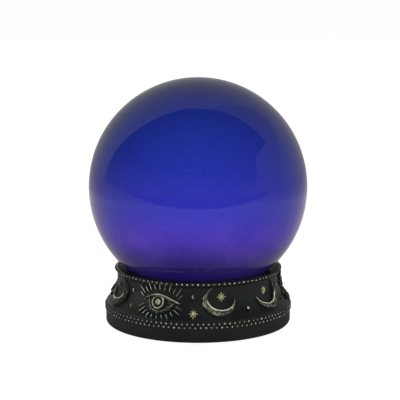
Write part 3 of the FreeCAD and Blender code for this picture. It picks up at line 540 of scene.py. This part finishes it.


# the eye on the right of the ring has a good part less gilding than the other two
eyes = list(zip(threeTimes(eye["azimuth"]), (1.0, 0.68, 0.95)))
for name, shape in (
    ("eye_upper_lidsGilt", upperLid),
    ("eye_lower_lidsGilt", lowerLid),
    ("eye_ballsGilt", eyeBall),
    ("eye_irisesGilt", irisDome),
):
    reliefPiece(name, [giltScaled(shape(a), left) for a, left in eyes], eyeGold)
rays = [giltScaled(block, left) for a, left in eyes for block in eyeRays(a)]
reliefPiece("eye_raysGilt", rays, rayGold)
print("eyes made")

# each row: radius it stands on, height, how many, and how far it is turned in parts of one step
beads = {
    "rim_bead_row": (45.6, 31.2, 102, 0.0),
    "foot_bead_row_upper": (51.2, 11.2, 114, 0.0),
    "foot_bead_row_lower": (51.2, 9.25, 114, 0.5),
}
bead = {"radius": 0.64, "rings": 4, "around": 8, "reach": 0.62 * np.pi}


def beadRow(radius, z, count, stagger):
    # the same small dome set round a circle: sphere points turned to each bead's azimuth
    rings, around, size = bead["rings"], bead["around"], bead["radius"]
    u, v = np.meshgrid(np.linspace(0, 1, rings), np.arange(around) / around, indexing="ij")
    polar = u * bead["reach"]
    out = radius + size * np.cos(polar)
    side = size * np.sin(polar) * np.cos(2 * np.pi * v)
    up = z + size * np.sin(polar) * np.sin(2 * np.pi * v)
    angle = (np.arange(count)[:, None] + stagger) * 2 * np.pi / count
    out, side, up = out.ravel()[None], side.ravel()[None], np.tile(up.ravel(), (count, 1))
    x = out * np.sin(angle) + side * np.cos(angle)
    y = -out * np.cos(angle) + side * np.sin(angle)
    verts = np.stack([x, y, up], axis=-1).reshape(-1, 3) * mm
    one = gridFaces(rings, around, closeCols=True, flip=True)
    faces = (one[None] + np.arange(count)[:, None, None] * rings * around).reshape(-1, 4)
    crest = np.tile(np.cos(u * np.pi / 2).ravel(), count)
    return verts, faces, crest


for node, (radius, z, count, stagger) in beads.items():
    reliefPiece(node + "Gilt", [beadRow(radius, z, count, stagger)], beadGold)
print("beads made")

# the cast ring: one profile of straight runs and arcs turned about Z; outside is the radius and height that its
# hand-finished faces lie beyond
casting = {
    "footRadius": 51.2, "plateHole": 47.0, "bottom": 0.8, "segments": 288, "wobble": 0.05, "outside": (44.4, 2.5),
}


def arcPoints(a, b, radius, count):
    # points of the minor arc from a to b; a positive radius bulges to the right of the way
    a, b = np.array(a, dtype=float), np.array(b, dtype=float)
    chord = b - a
    length = np.hypot(*chord)
    across = np.array([chord[1], -chord[0]]) / length
    centre = (a + b) / 2 - across * math.copysign(math.sqrt(radius**2 - length**2 / 4), radius)
    start, end = (math.atan2(*(p - centre)[::-1]) for p in (a, b))
    sweep = (end - start + math.pi) % (2 * math.pi) - math.pi
    angle = start + sweep * np.linspace(0, 1, count, endpoint=False)
    return np.stack([centre[0] + abs(radius) * np.cos(angle), centre[1] + abs(radius) * np.sin(angle)], axis=-1)


def castingOutline():
    # corners of the profile: radius, height, radius of the arc on to the next corner or None where that run is
    # straight, and how many points the run gets
    foot = casting["footRadius"]
    corners = [
        (casting["plateHole"], casting["bottom"], None, 4),
        (foot - 2.0, casting["bottom"], 2.0, 10),
        (foot, casting["bottom"] + 2.0, None, 10),
        (foot, 12.2, 2.0, 8),
        (50.2, 13.6, -16.73, 36),
        (44.7, 26.0, None, 6),
        (44.7, 28.6, -2.4, 8),
        (45.6, 30.2, None, 5),
        (45.6, 31.4, 0.95, 8),
        (44.8, 32.0, None, 12),
        (33.0, 24.0, None, 3),
        (33.0, 20.0, None, 6),
        (40.5, 25.6, None, 4),
        (40.5, 20.0, None, 6),
        (44.0, 13.0, None, 8),
        (44.0, 3.2, None, 2),
        (47.0, 3.2, None, 2),
    ]
    runs = []
    for (x, z, radius, count), (nextX, nextZ, *_) in zip(corners, corners[1:] + corners[:1]):
        if radius is None:
            t = np.linspace(0, 1, count, endpoint=False)[:, None]
            runs.append(np.array([[x, z]]) * (1 - t) + np.array([[nextX, nextZ]]) * t)
        else:
            runs.append(arcPoints((x, z), (nextX, nextZ), radius, count))
    return np.concatenate(runs)


def castingPiece():
    # radius(angle, run) = outline radius - a slow hand-finished wobble on the outside faces only
    outline = castingOutline()
    angle = np.arange(casting["segments"]) * 2 * np.pi / casting["segments"]
    a, r = np.meshgrid(angle, outline[:, 0], indexing="ij")
    z = np.tile(outline[:, 1], (len(angle), 1))
    outside = (r > casting["outside"][0]) & (z > casting["outside"][1])
    wobble = np.sin(5 * a + z * 0.4) + 0.7 * np.sin(11 * a - z * 0.7) + 0.5 * np.sin(23 * a + 1.3 * z)
    r = r - np.where(outside, np.abs(wobble) * casting["wobble"] * 0.5, 0)
    verts = np.stack([r * np.sin(a), -r * np.cos(a), z], axis=-1).reshape(-1, 3) * mm
    faces = gridFaces(len(angle), len(outline), closeRows=True, closeCols=True)
    piece = makePiece(
        "castingBody", verts, [tuple(f) for f in faces.tolist()], blackResinMaterial(), "base",
        ["base_casting"],
    )
    piece.data.set_sharp_from_angle(angle=math.radians(40))


castingPiece()
print("casting made")

# the globe: polished glass over pearly liquid, seen as one body under a clear coat
globe = {
    "radius": 60.0, "wall": 2.5, "centre": 76.0, "plugRadius": 5.0, "cols": 256, "outerRows": 180, "innerRows": 60,
    "top": 0.136,
    "tints": ((0.056, (0.042, 0.019, 0.46)), (0.068, (0.026, 0.024, 0.46)), (0.080, (0.024, 0.030, 0.455)),
              (0.110, (0.019, 0.041, 0.45))),
    "cloud": (0.110, 0.050, 0.60), "sideLift": (1.85, 1.45, 1.40),
    "glow": (0.0040, 0.0030, 0.021), "glowTop": 0.044, "glowFull": 0.034, "glassIor": 1.48,
}


def ballShell(radius, startPolar, rows, cols):
    # sphere points from a hole round the south pole up to the north pole: polar angle by azimuth
    polar, around = np.meshgrid(np.linspace(startPolar, np.pi, rows), np.arange(cols) * 2 * np.pi / cols, indexing="ij")
    x, y = radius * np.sin(polar) * np.cos(around), radius * np.sin(polar) * np.sin(around)
    return np.stack([x, y, globe["centre"] - radius * np.cos(polar)], axis=-1)


def pearlNodes(tree):
    # colour of the liquid: blue above, violet below, with soft clouds, fine flakes, painted shade near the ring and
    # painted light pooled low down at left and right
    coords = objectCoords(tree)
    split = addNode(tree, "ShaderNodeSeparateXYZ")
    tree.links.new(coords, split.inputs[0])
    z = split.outputs["Z"]
    drift = mapRange(tree, noiseNode(tree, coords, 18, 3, 0.5), 0.3, 0.7, -0.004, 0.004)
    level = mathNode(tree, "ADD", z, drift)
    stops = [(height / globe["top"], tint) for height, tint in globe["tints"]]
    body = ramp(tree, mapRange(tree, level, 0.0, globe["top"], 0, 1), stops)
    puffs = mapRange(tree, noiseNode(tree, coords, 26, 4, 0.55), 0.40, 0.66, 0, 1)
    lowPuffs = mathNode(tree, "MULTIPLY", puffs, mapRange(tree, z, 0.070, 0.058, 0, 1))
    aside = mathNode(tree, "ABSOLUTE", split.outputs["X"])
    # painted light: the clouds are fuller towards left and right, where the light pools
    sideLightWeight = mapRange(tree, aside, 0.004, 0.034, 0.45, 1.0)
    body = mixColour(tree, mathNode(tree, "MULTIPLY", lowPuffs, sideLightWeight), body, globe["cloud"])
    flakes = mapRange(tree, noiseNode(tree, coords, 1500, 2, 0.6), 0.3, 0.7, 0.78, 1.22)
    # painted shade: the liquid's colour darkens towards the ring, which shadows it
    shade = ramp(tree, mapRange(tree, z, 0.0, 0.1, 0, 1), [
        (0.32, (0.17,) * 3), (0.39, (0.20,) * 3), (0.44, (0.36,) * 3), (0.56, (0.80,) * 3), (0.68, (1.0,) * 3)])
    body = mixColour(tree, 1.0, body, shade, "MULTIPLY")
    # painted light: low in the liquid the colour is made brighter and pinker towards left and right than in the middle,
    # where light pools
    sideLight = mixColour(tree, mapRange(tree, aside, 0.010, 0.044, 0, 1), (0.91, 0.91, 0.91), globe["sideLift"])
    lowSideLight = mixColour(tree, mapRange(tree, z, 0.064, 0.050, 0, 1), (1.0, 1.0, 1.0), sideLight)
    body = mixColour(tree, 1.0, body, lowSideLight, "MULTIPLY")
    body = mixColour(tree, 1.0, body, addGrey(tree, flakes), "MULTIPLY")
    return coords, body


def addGrey(tree, value):
    node = addNode(tree, "ShaderNodeCombineColor")
    for socket in node.inputs:
        tree.links.new(value, socket)
    return node.outputs[0]


def globeMaterial():
    material, tree, shader = newMaterial("pearlUnderGlass")
    coords, body = pearlNodes(tree)
    tree.links.new(body, shader.inputs["Base Color"])
    # painted glow: a faint emission just above the ring stands in for light that has wandered down through the liquid
    split = addNode(tree, "ShaderNodeSeparateXYZ")
    tree.links.new(coords, split.inputs[0])
    low = mapRange(tree, split.outputs["Z"], globe["glowTop"], globe["glowFull"], 0, 1)
    tree.links.new(mixColour(tree, low, (0.0, 0.0, 0.0), globe["glow"]), shader.inputs["Emission Color"])
    shader.inputs["Emission Strength"].default_value = 1.0
    shader.inputs["Roughness"].default_value = 0.55
    shader.inputs["Specular IOR Level"].default_value = 0.05
    shader.inputs["Coat Weight"].default_value = 1.0
    shader.inputs["Coat Roughness"].default_value = 0.0
    shader.inputs["Coat IOR"].default_value = globe["glassIor"]
    return material


def pearlMaterial():
    material, tree, shader = newMaterial("pearlLiquid")
    _, body = pearlNodes(tree)
    tree.links.new(body, shader.inputs["Base Color"])
    shader.inputs["Roughness"].default_value = 0.4
    return material


def glassShell():
    # outer wall from the hole to the pole, then the inner wall back again; the two rims are joined at the hole
    cols = globe["cols"]
    innerRadius = globe["radius"] - globe["wall"]
    outer = ballShell(globe["radius"], math.asin(globe["plugRadius"] / globe["radius"]), globe["outerRows"], cols)[:-1]
    inner = ballShell(innerRadius, math.asin(globe["plugRadius"] / innerRadius), globe["innerRows"], cols)[:-1]
    poles = [[0, 0, globe["centre"] + globe["radius"]], [0, 0, globe["centre"] + innerRadius]]
    verts = np.concatenate([outer.reshape(-1, 3), inner.reshape(-1, 3), poles]) * mm
    outerCount, innerCount = outer.shape[0] * cols, inner.shape[0] * cols
    top = outerCount + innerCount
    ring = np.arange(cols)
    after = (ring + 1) % cols
    faces = gridFaces(outer.shape[0], cols, closeCols=True, flip=True).tolist()
    faces += (gridFaces(inner.shape[0], cols, closeCols=True) + outerCount).tolist()
    faces += np.stack([ring + outerCount - cols, after + outerCount - cols, np.full(cols, top)], axis=-1).tolist()
    faces += np.stack([after + top - cols, ring + top - cols, np.full(cols, top + 1)], axis=-1).tolist()
    faces += np.stack([ring, ring + outerCount, after + outerCount, after], axis=-1).tolist()
    makePiece("globeGlass", verts, [tuple(f) for f in faces], globeMaterial(), "globe", ["globe_shell"])


glassShell()
print("globe made")


# plain finishes for the pieces that keep their CAD shape
finishes = {
    "seat_ring": ((0.020, 0.020, 0.021), 0.70, 0.0),
    "globe_plug": ((0.62, 0.62, 0.58), 0.45, 0.0),
    "diffuser_dish": ((0.80, 0.81, 0.84), 0.40, 0.0),
    "led_board": ((0.72, 0.74, 0.72), 0.35, 0.0),
    "leds": ((0.80, 0.74, 0.40), 0.35, 0.0),
    "resistors": ((0.03, 0.03, 0.03), 0.40, 0.0),
    "controller_chip": ((0.02, 0.02, 0.02), 0.45, 0.0),
    "bottom_plate": ((0.018, 0.018, 0.019), 0.55, 0.0),
    "battery_door": ((0.022, 0.022, 0.023), 0.55, 0.0),
    "switch_body": ((0.60, 0.60, 0.58), 0.30, 1.0),
    "switch_knob": ((0.035, 0.035, 0.036), 0.40, 0.0),
    "switch_lugs": ((0.62, 0.60, 0.55), 0.30, 1.0),
    "door_screw": ((0.56, 0.55, 0.52), 0.28, 1.0),
    "plate_screws": ((0.56, 0.55, 0.52), 0.28, 1.0),
    "foot_pads": ((0.025, 0.025, 0.025), 0.85, 0.0),
    "wire_battery_to_switch": ((0.45, 0.02, 0.02), 0.45, 0.0),
    "wire_switch_to_board": ((0.45, 0.02, 0.02), 0.45, 0.0),
    "wire_board_to_battery": ((0.02, 0.02, 0.02), 0.45, 0.0),
    "battery_cell_1": ((0.05, 0.05, 0.055), 0.30, 0.5),
    "battery_cell_2": ((0.05, 0.05, 0.055), 0.30, 0.5),
    "battery_cell_3": ((0.05, 0.05, 0.055), 0.30, 0.5),
}
contactFinish = ((0.64, 0.62, 0.58), 0.28, 1.0)


def plainFinish(name, colour, roughness, metallic):
    # moulded or plated surface: slow colour drift, uneven gloss and a fine grain
    material, tree, shader = newMaterial(name)
    coords = objectCoords(tree)
    drift = noiseNode(tree, coords, 120, 4, 0.6)
    grain = noiseNode(tree, coords, 2600, 2, 0.5)
    pale = tuple(min(1.0, c * 1.25 + 0.01) for c in colour)
    tree.links.new(mixColour(tree, mapRange(tree, drift, 0.35, 0.7, 0, 1), colour, pale), shader.inputs["Base Color"])
    tree.links.new(mapRange(tree, drift, 0.3, 0.7, roughness * 0.85, min(1.0, roughness * 1.15)),
                   shader.inputs["Roughness"])
    shader.inputs["Metallic"].default_value = metallic
    addBump(tree, shader, grain, 0.2, 0.00006)
    return material


frame["nodes"]["pearl_liquid"].data.materials.clear()
frame["nodes"]["pearl_liquid"].data.materials.append(pearlMaterial())
for node, item in frame["nodes"].items():
    if node in finishes or node.startswith("contact"):
        look = plainFinish(node + "Finish", *finishes.get(node, contactFinish))
        item.data.materials.clear()
        item.data.materials.append(look)
print("small parts finished")


# studio: pale table and surroundings, with a dark room on the camera's side that the glass reflects
studio = {
    "tableSize": 30.0, "tableEdge": 0.36, "tableSheen": 1.0, "roomRadius": 3.0, "backdrop": 0.40, "ambient": 0.04,
    "roomRows": 40, "roomCols": 120,
}


def emitter(name, colour, strength):
    material, _, shader = newMaterial(name)
    shader.inputs["Base Color"].default_value = (0, 0, 0, 1)
    shader.inputs["Specular IOR Level"].default_value = 0.0
    shader.inputs["Emission Color"].default_value = (*colour, 1)
    shader.inputs["Emission Strength"].default_value = strength
    return material


def stagePiece(name, verts, faces, material, seenBy):
    # seenBy names the kinds of ray that meet this piece
    mesh = bpy.data.meshes.new(name)
    mesh.from_pydata(verts, [], faces)
    mesh.materials.append(material)
    item = bpy.data.objects.new(name, mesh)
    bpy.context.scene.collection.objects.link(item)
    for kind in ("camera", "diffuse", "glossy", "transmission", "shadow"):
        setattr(item, "visible_" + kind, kind in seenBy)
    item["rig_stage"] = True


def flatSquare(low, high, z):
    (x0, y0), (x1, y1) = low, high
    return [(x0, y0, z), (x1, y0, z), (x1, y1, z), (x0, y1, z)], [(0, 1, 2, 3)]


def tableSheenMaterial():
    # what the glass sees of the table: bright in front, dimmer far out and behind, and dimmer right at the ring's foot
    # as a painted shadow of the ring
    material, tree, shader = newMaterial("tableSheen")
    shader.inputs["Base Color"].default_value = (0, 0, 0, 1)
    shader.inputs["Specular IOR Level"].default_value = 0.0
    coords = objectCoords(tree)
    away = addNode(tree, "ShaderNodeVectorMath", operation="LENGTH")
    tree.links.new(coords, away.inputs[0])
    light = ramp(tree, mapRange(tree, away.outputs["Value"], 0, 1, 0, 1), [
        (0.055, (0.22, 0.20, 0.21)), (0.10, (0.44, 0.40, 0.42)), (0.2, (0.62, 0.56, 0.585)), (0.38, (0.72, 0.65, 0.68)),
        (0.50, (0.50, 0.45, 0.47)), (1.0, (0.40, 0.365, 0.38))])
    tree.links.new(light, shader.inputs["Emission Color"])
    shader.inputs["Emission Strength"].default_value = studio["tableSheen"]
    return material


def roomMaterial(name, low, high):
    # dim wall that gets darker with height
    material, tree, shader = newMaterial(name)
    shader.inputs["Base Color"].default_value = (0, 0, 0, 1)
    shader.inputs["Specular IOR Level"].default_value = 0.0
    split = addNode(tree, "ShaderNodeSeparateXYZ")
    tree.links.new(objectCoords(tree), split.inputs[0])
    light = ramp(tree, mapRange(tree, split.outputs["Z"], 0, studio["roomRadius"], 0, 1), [
        (0.0, low), (0.45, high), (1.0, high)])
    tree.links.new(light, shader.inputs["Emission Color"])
    shader.inputs["Emission Strength"].default_value = 1.0
    return material


def roomPart(name, around, fromEdge, toEdge, material):
    # part of a sphere about the object: around runs from the right over the top to the left, and the two edges are
    # degrees away from the camera's side
    rows, cols, radius = studio["roomRows"], studio["roomCols"], studio["roomRadius"]
    share, around = np.meshgrid(np.linspace(0, 1, rows), np.radians(np.linspace(*around, cols)), indexing="ij")
    start, end = fromEdge(around), toEdge(around)
    polar = np.radians(start + (end - start) * share)
    aside = radius * np.sin(polar)
    verts = np.stack([aside * np.cos(around), -radius * np.cos(polar), aside * np.sin(around)], axis=-1).reshape(-1, 3)
    faces = [tuple(f) for f in gridFaces(rows, cols).tolist()]
    stagePiece(name, verts, faces, material, ["glossy"])


def darkEdge(around):
    # where the dark room ends, in degrees away from the camera's side:
    # a level top edge that reaches further back on the left, and a nearly upright edge low on the right
    top = 96.5 + 17 * np.clip(-np.cos(around), 0, 1) ** 4
    return np.where(np.degrees(around) < 32, 58 + 0.49 * np.degrees(around), top)


def panelEdge(around):
    # where the pale panel behind the dark room ends: furthest back half way up the right side
    return 95 + 29 * np.sin(2 * around) ** 2


half, front = studio["tableSize"] / 2, -studio["tableEdge"]
tableWhite = emitter("tableWhite", (1, 1, 1), 0.97)
stagePiece("tableSeen", *flatSquare((-half, -half), (half, half), 0.0), tableWhite, ["camera"])
stagePiece("tableMirrored", *flatSquare((-half, front), (half, half), -0.0002), tableSheenMaterial(), ["glossy"])
stagePiece("floorMirrored", *flatSquare((-half, -half), (half, front), -0.0003),
           emitter("floorSheen", (0.95, 0.95, 1), 0.12), ["glossy"])
darkWall = roomMaterial("darkRoom", (0.20, 0.21, 0.23), (0.02, 0.04, 0.05))
paleWall = roomMaterial("sidePanel", (0.34, 0.32, 0.34), (0.30, 0.29, 0.30))
roomPart("darkRoom", (0, 180), np.zeros_like, darkEdge, darkWall)
roomPart("sidePanel", (0, 88), darkEdge, panelEdge, paleWall)
# the table is clear from below, so that the underside of the base can be seen
tableLook = tableWhite.node_tree
tableShader = tableLook.nodes["Principled BSDF"]
tableShader.inputs["Base Color"].default_value = (0.3, 0.3, 0.3, 1)
backfacing = addNode(tableLook, "ShaderNodeNewGeometry").outputs["Backfacing"]
tableLook.links.new(mathNode(tableLook, "SUBTRACT", 1.0, backfacing), tableShader.inputs["Alpha"])

world = bpy.data.worlds.new("paleStudio")
bpy.context.scene.world = world
world.use_nodes = True
sky = world.node_tree
background = sky.nodes["Background"]
background.inputs["Color"].default_value = (1, 1, 1, 1)
path = sky.nodes.new("ShaderNodeLightPath")
glossyPart = mapRange(sky, path.outputs["Is Glossy Ray"], 0, 1, studio["ambient"], studio["backdrop"])
strength = mathNode(sky, "MAXIMUM", path.outputs["Is Camera Ray"], glossyPart)
sky.links.new(strength, background.inputs["Strength"])


def areaLight(name, place, size, power, onlyOn, target, colour=(1, 1, 1)):
    # soft square lamp that lights only the named collection
    light = bpy.data.lights.new(name, "AREA")
    light.size, light.energy, light.color = size, power, colour
    item = bpy.data.objects.new(name, light)
    item.location = place
    item.rotation_euler = (Vector(target) - Vector(place)).to_track_quat("-Z", "Y").to_euler()
    bpy.context.scene.collection.objects.link(item)
    item.light_linking.receiver_collection = onlyOn
    return item


ballLit, ringLit, tableLit = (bpy.data.collections.new(n) for n in ("ballLit", "ringLit", "tableLit"))
ballLit.objects.link(bpy.data.objects["globeGlass"])
tableLit.objects.link(bpy.data.objects["tableSeen"])
for item in list(bpy.context.scene.objects):
    if item.type == "MESH" and not item.get("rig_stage") and item.name != "globeGlass":
        ringLit.objects.link(item)
for name, place, size, power in (
    ("ballLamp", (0, -1.0, -0.02), 0.25, 7.6),
    ("ballBack", (0.1, 1.0, 0.3), 0.6, 2.6),
    ("ballBounce", (0, 0.0, -0.25), 0.9, 1.5),
):
    areaLight(name, place, size, power, ballLit, (0, 0, 0.076)).visible_glossy = False
for name, place, size, power, glossy, colour in (
    ("ringLamp", (0.12, -0.62, 0.46), 0.2, 7.0, False, (1.0, 0.99, 0.95)),
    ("ringGlint", (0.10, -0.60, 0.50), 0.2, 0.4, True, (1.0, 1.0, 1.0)),
    ("ringSide", (0.7, -0.25, 0.25), 0.3, 0.2, True, (0.96, 0.98, 1.0)),
    ("ringLeft", (-0.7, -0.15, 0.25), 0.3, 0.9, True, (0.96, 0.98, 1.0)),
    ("ringBack", (-0.1, 0.7, 0.45), 0.5, 3.5, True, (1.0, 1.0, 1.0)),
    ("ringUnder", (0.0, 0.0, -0.6), 0.5, 3.0, True, (1.0, 1.0, 1.0)),
):
    areaLight(name, place, size, power, ringLit, (0, -0.02, 0.02), colour).visible_glossy = glossy
areaLight("tableLamp", (0, 0.0, 1.6), 1.2, 12.0, tableLit, (0, 0, 0))

camera = bpy.data.cameras.new("camera")
camera.lens, camera.sensor_width = 132.7, 36.0
camera.clip_start, camera.clip_end = 0.05, 50
cameraItem = bpy.data.objects.new("camera", camera)
cameraItem.location = (0.00106, -0.8, 0.2095)
cameraItem.rotation_euler = (math.radians(80), 0, 0)
bpy.context.scene.collection.objects.link(cameraItem)
bpy.context.scene.camera = cameraItem
bpy.context.scene.view_settings.view_transform = "Standard"
bpy.context.scene.view_settings.look = "None"

print("stage set")
